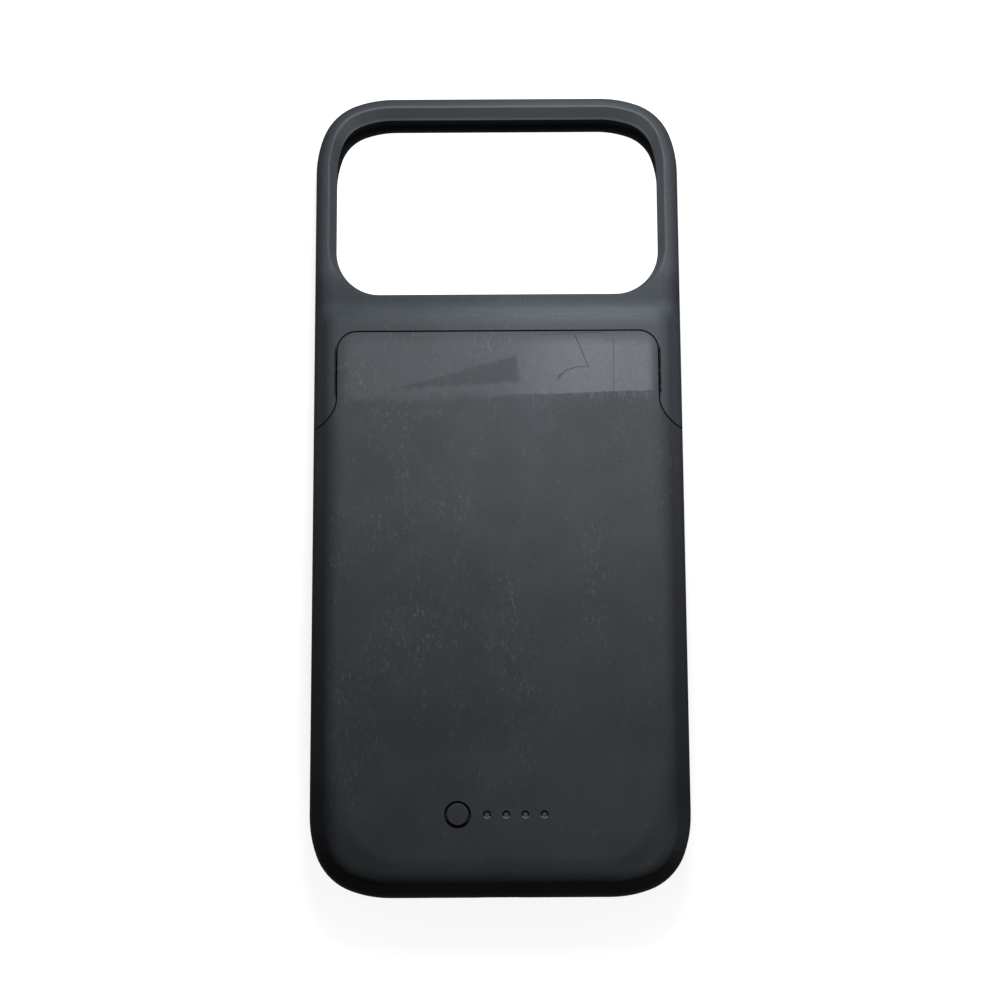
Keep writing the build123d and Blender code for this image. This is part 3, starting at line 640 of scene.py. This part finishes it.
def plastic(name, dark, light, rough, grain=0.14, depth=0.010, edge=0.15, **constants):
    """Plain moulded plastic with grain, soft colour change and slightly rubbed edges."""
    haze_size, haze_rough, grain_strength = 4.0, 0.18, 0.25
    rub_size, rub_share, rub_gain, rub_lift = 0.8, 0.4, 2.2, 0.02
    g = Graph(name, **constants)
    haze = g.noise(haze_size, 4.0, rough=0.6)
    color = g.mix(g.fade(haze, 0.3, 0.7), dark, light)
    edge_normal, rub = g.soft_edge(edge)
    worn = [min(1.0, c * rub_gain + rub_lift) for c in light]
    color = g.mix(g.times(rub, g.fade(g.noise(rub_size), 0.35, 0.7), rub_share), color, worn)
    g.set("Base Color", color)
    g.set("Roughness", g.plus(g.times(haze, haze_rough), rough))
    g.set("Normal", g.bump(g.noise(grain, 2.0), grain_strength, depth, edge_normal))
    return g.material


def metal(name, color, rough, stretch):
    """Plated or turned metal with fine drawn lines and dull spots."""
    line_size, line_depth, line_strength, line_rough = 0.10, 0.006, 0.2, 0.12
    stain_size, stain_rough, dullness = 1.4, 0.18, 0.72
    g = Graph(name, Metallic=1.0)
    line = g.noise(line_size, stretch=stretch)
    stain = g.noise(stain_size, 4.0)
    middle_dark = [c * dullness for c in color]
    g.set("Base Color", g.mix(g.fade(stain, 0.35, 0.75), color, middle_dark))
    g.set("Roughness", g.plus(g.times(stain, stain_rough), g.times(line, line_rough), rough))
    g.set("Normal", g.bump(line, line_strength, line_depth))
    return g.material


def board(name):
    """Green lacquered laminate with paler copper runs under the lacquer and a faint weave."""
    dark, light, copper = (0.010, 0.050, 0.026), (0.016, 0.072, 0.040), (0.045, 0.130, 0.060)
    cloud_size, run_spacing, gloss_size, depth = 3.0, 2.6, 1.5, 0.02
    weave_per_metre = 6000.0
    g = Graph(name, IOR=1.5)
    waves = [g.math("SINE", g.times(axis, weave_per_metre)) for axis in (g.x, g.y)]
    runs = g.fade(g.cells(run_spacing, "DISTANCE_TO_EDGE"), 0.10, 0.06)
    color = g.mix(g.noise(cloud_size), dark, light)
    g.set("Base Color", g.mix(g.times(runs, 0.7), color, copper))
    g.set("Roughness", g.plus(g.times(g.noise(gloss_size), 0.2), 0.28))
    height = g.plus(g.times(runs, 0.8), g.times(*waves, 0.2))
    g.set("Normal", g.bump(height, 0.3, depth))
    return g.material


def foil(name):
    """Pouch foil of the cell: soft silver with dents and creases."""
    dark, light = (0.46, 0.47, 0.49), (0.60, 0.61, 0.63)
    dent_size, crease_spacing, depth = 7.0, 6.0, 0.12
    g = Graph(name, Metallic=0.85)
    dent = g.noise(dent_size, 4.0)
    crease = g.fade(g.cells(crease_spacing, "DISTANCE_TO_EDGE"), 0.05, 0.0)
    g.set("Base Color", g.mix(dent, dark, light))
    g.set("Roughness", g.plus(g.times(dent, 0.2), 0.28))
    g.set("Normal", g.bump(g.plus(dent, g.times(crease, 0.3)), 0.35, depth))
    return g.material


def adhesive(name):
    """Pale double-sided tape with a fibrous carrier."""
    dark, light = (0.55, 0.54, 0.49), (0.72, 0.71, 0.67)
    fibre_size, depth = 0.5, 0.03
    g = Graph(name)
    fibre = g.noise(fibre_size, 4.0, stretch=(1.0, 8.0, 1.0))
    g.set("Base Color", g.mix(fibre, dark, light))
    g.set("Roughness", g.plus(g.times(fibre, 0.3), 0.5))
    g.set("Normal", g.bump(fibre, 0.3, depth))
    return g.material


def leads(name):
    """Sleeves of the two leads: one red, one black, told apart by where they lie."""
    scuff_size, depth, turn = 0.6, 0.01, 0.1
    g = Graph(name)
    low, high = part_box("battery_leads")
    middle = (low.x + high.x) / 2
    second = g.fade(g.x, middle, middle + turn * MM)
    scuff = g.noise(scuff_size, 4.0)
    red = g.mix(scuff, (0.30, 0.012, 0.010), (0.42, 0.022, 0.018))
    black = g.mix(scuff, (0.012, 0.012, 0.013), (0.026, 0.026, 0.028))
    g.set("Base Color", g.mix(second, red, black))
    g.set("Roughness", g.plus(g.times(scuff, 0.2), 0.38))
    g.set("Normal", g.bump(scuff, 0.2, depth))
    return g.material


# Finish of every node

shell_graph, shell_color, shell_rough = case_plastic(
    "shell_plastic", SHELL_DARK, SHELL_LIGHT, side_light=0.11, dusty=1.0
)
worn_and_shaded_shell(shell_graph, shell_color, shell_rough)
cap_graph, cap_color, _ = case_plastic("cap_plastic", CAP_DARK, CAP_LIGHT, side_light=0.34, dusty=0.45)
marked_and_shaded_cap(cap_graph, cap_color)
button_graph, _, _ = case_plastic("button_plastic", SHELL_DARK, SHELL_LIGHT, side_light=0.11, dusty=0.4)
node_materials = {
    "back_shell": shell_graph.material,
    "top_cap": cap_graph.material,
    "status_button": button_graph.material,
}

plain_plastics = {
    "cradle_plastic": ((0.012, 0.0125, 0.0135), (0.020, 0.021, 0.0225), 0.50, {}),
    "key_plastic": (CAP_DARK, CAP_LIGHT, 0.50, CASE_SHINE),
    "light_plastic": (
        (0.034, 0.0343, 0.0354), (0.050, 0.0505, 0.0520), 0.42, {"edge": 0.08, "Specular_IOR_Level": 0.2}
    ),
    "chip_epoxy": ((0.010, 0.010, 0.011), (0.020, 0.020, 0.021), 0.55, {"grain": 0.08}),
    "coil_ferrite": ((0.020, 0.019, 0.018), (0.042, 0.040, 0.038), 0.62, {"grain": 0.10, "depth": 0.03}),
    "led_resin": ((0.55, 0.50, 0.22), (0.68, 0.63, 0.34), 0.25, {"grain": 0.20}),
    "switch_plastic": ((0.016, 0.016, 0.017), (0.030, 0.030, 0.031), 0.42, {}),
    "plunger_plastic": ((0.50, 0.48, 0.44), (0.60, 0.58, 0.54), 0.40, {}),
    "connector_plastic": ((0.010, 0.010, 0.011), (0.018, 0.018, 0.019), 0.34, {"grain": 0.10}),
}
slot_materials = {
    "cell_foil": foil("cell_foil"),
    "sheet_adhesive": adhesive("sheet_adhesive"),
    "board_laminate": board("board_laminate"),
    "lead_sleeve": leads("lead_sleeve"),
    "connector_steel": metal("connector_steel", (0.62, 0.61, 0.59), 0.20, stretch=(1.0, 9.0, 1.0)),
    "screw_steel": metal("screw_steel", (0.52, 0.52, 0.53), 0.26, stretch=(6.0, 1.0, 1.0)),
}
for slot_name, (dark, light, rough, details) in plain_plastics.items():
    slot_materials[slot_name] = plastic(slot_name, dark, light, rough, **details)

for part in frame["record"]["subparts"]:
    node = frame["nodes"][part["node"]]
    finish = node_materials.get(part["node"]) or slot_materials[part["material_slot"]]
    node.data.materials.clear()
    node.data.materials.append(finish)


# Contacts of the port, in millimetres

CONTACTS = 12
CONTACT_PITCH = 0.5
CONTACT_WIDTH = 0.24
CONTACT_PROUD = 0.05
CONTACT_SUNK = 0.04
CONTACT_ROOT = 4.6
CONTACT_TIP = 0.5
LEAD_IN_SHARE = 0.12
LEAD_IN_DROP = 0.2
TONGUE_THICKNESS = 0.7
GOLD = (0.78, 0.56, 0.24)


def contact_row(name, rows, body, finish):
    """Row of flat contacts with a sloped lead-in: (x, y of the root, y of the tip, z, up) in metres."""
    mesh = bpy.data.meshes.new(name)
    shape = bmesh.new()
    half = CONTACT_WIDTH / 2 * MM
    for x, root, tip, z, up in rows:
        proud = CONTACT_PROUD * MM * up
        sunk = -CONTACT_SUNK * MM * up
        shoulder = tip + (root - tip) * LEAD_IN_SHARE
        rings = []
        for y, rise in ((root, proud), (shoulder, proud), (tip, proud * LEAD_IN_DROP)):
            corners = ((-half, rise), (half, rise), (half, sunk), (-half, sunk))
            rings.append([shape.verts.new((x + dx, y, z + dz)) for dx, dz in corners])
        for near, far in zip(rings, rings[1:]):
            for i in range(len(near)):
                shape.faces.new((near[i], near[i - 1], far[i - 1], far[i]))
        shape.faces.new(rings[0])
        shape.faces.new(reversed(rings[-1]))
    bmesh.ops.recalc_face_normals(shape, faces=shape.faces)
    shape.to_mesh(mesh)
    shape.free()
    mesh.materials.append(finish)
    piece = bpy.data.objects.new(name, mesh)
    bpy.context.scene.collection.objects.link(piece)
    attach(piece, body)


gold = metal("contact_gold", GOLD, 0.18, stretch=(1.0, 9.0, 1.0))
tongue_low, tongue_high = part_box("port_tongue")
tongue_middle = (tongue_low.z + tongue_high.z) / 2
contact_root = tongue_low.y + CONTACT_ROOT * MM
contact_tip = tongue_low.y + CONTACT_TIP * MM
port_rows = []
for index in range(CONTACTS):
    x = (index - (CONTACTS - 1) / 2) * CONTACT_PITCH * MM
    for up in (1, -1):
        level = tongue_middle + up * TONGUE_THICKNESS / 2 * MM
        port_rows.append((x, contact_root, contact_tip, level, up))
contact_row("port_contacts", port_rows, "lower_case", gold)


# Floor, white to the eye and in reflections, a little less so under the case

SEEN_RAYS = ("Is Camera Ray", "Is Glossy Ray", "Is Transmission Ray")
WHITE = (1.0, 1.0, 1.0, 1.0)
FLOOR_DARK = (0.24, 0.24, 0.24)
FLOOR_LIGHT = (0.26, 0.26, 0.26)
FLOOR_CLOUD = 250.0
FLOOR_GLOW_PLACES = (50.0, 130.0)
FLOOR_GLOW_NEAR = 0.84
FLOOR_REACH = 3.0
FLOOR_DROP = 0.02

floor_graph = Graph("floor_paint", Roughness=0.9, Emission_Color=WHITE)
floor_tone = floor_graph.noise(FLOOR_CLOUD, 2.0)
floor_graph.set("Base Color", floor_graph.mix(floor_tone, FLOOR_DARK, FLOOR_LIGHT))
floor_path = floor_graph.add("ShaderNodeLightPath")
seen = floor_graph.most(*(floor_path.outputs[ray] for ray in SEEN_RAYS))
away = floor_graph.vector("DISTANCE", floor_graph.place, (0.0, 0.0, 0.0))
glow = floor_graph.ramp(away, FLOOR_GLOW_PLACES, FLOOR_GLOW_NEAR, 1.0)
floor_graph.set("Emission Strength", floor_graph.times(seen, glow))

floor_mesh = bpy.data.meshes.new("floor")
floor_corners = [(-1, -1), (1, -1), (1, 1), (-1, 1)]
floor_mesh.from_pydata([(x * FLOOR_REACH, y * FLOOR_REACH, 0.0) for x, y in floor_corners], [], [range(4)])
floor_mesh.materials.append(floor_graph.material)
floor = bpy.data.objects.new("floor", floor_mesh)
floor.location.z = -FLOOR_DROP * MM
bpy.context.scene.collection.objects.link(floor)


# Light, in metres and watts

LAMP_PLACE = (0.008, 0.070, 0.138)
LAMP_AIM = (0.0, 0.010, 0.0)
LAMP_SIZE = 0.07
LAMP_POWER = 0.44
LAMP_COLOR = (0.93, 0.975, 1.0)
SKY_LEVEL = 0.015

lamp = bpy.data.lights.new("key_light", "AREA")
lamp.shape = "SQUARE"
lamp.size = LAMP_SIZE
lamp.energy = LAMP_POWER
lamp.color = LAMP_COLOR
holder = bpy.data.objects.new("key_light", lamp)
holder.location = LAMP_PLACE
holder.rotation_euler = (Vector(LAMP_AIM) - Vector(LAMP_PLACE)).to_track_quat("-Z", "Y").to_euler()
bpy.context.scene.collection.objects.link(holder)

world = bpy.data.worlds.new("studio")
world.use_nodes = True
sky = world.node_tree
sky_path = sky.nodes.new("ShaderNodeLightPath")
sky_level = None
for ray in SEEN_RAYS:
    step = sky.nodes.new("ShaderNodeMath")
    step.operation = "MAXIMUM"
    sky.links.new(sky_path.outputs[ray], step.inputs[0])
    step.inputs[1].default_value = SKY_LEVEL
    if sky_level:
        sky.links.new(sky_level, step.inputs[1])
    sky_level = step.outputs[0]
sky.nodes["Background"].inputs["Color"].default_value = WHITE
sky.links.new(sky_level, sky.nodes["Background"].inputs["Strength"])
bpy.context.scene.world = world
bpy.context.scene.view_settings.view_transform = "Standard"


# Camera at the photograph's viewing angle: place in millimetres, turns in degrees

CAMERA_PLACE = (0.31, -51.30, 345.0)
CAMERA_TILT = 8.182
CAMERA_ROLL = -0.317
CAMERA_LENS = 58.70
SENSOR_WIDTH = 36.0
CLIP_START = 0.01
CLIP_END = 20.0

camera_data = bpy.data.cameras.new("camera")
camera_data.sensor_width = SENSOR_WIDTH
camera_data.lens = CAMERA_LENS
camera_data.clip_start = CLIP_START
camera_data.clip_end = CLIP_END
camera = bpy.data.objects.new("camera", camera_data)
camera.matrix_world = (
    Matrix.Translation([c * MM for c in CAMERA_PLACE])
    @ Matrix.Rotation(radians(CAMERA_TILT), 4, "X")
    @ Matrix.Rotation(radians(CAMERA_ROLL), 4, "Z")
)
bpy.context.scene.collection.objects.link(camera)
bpy.context.scene.camera = camera
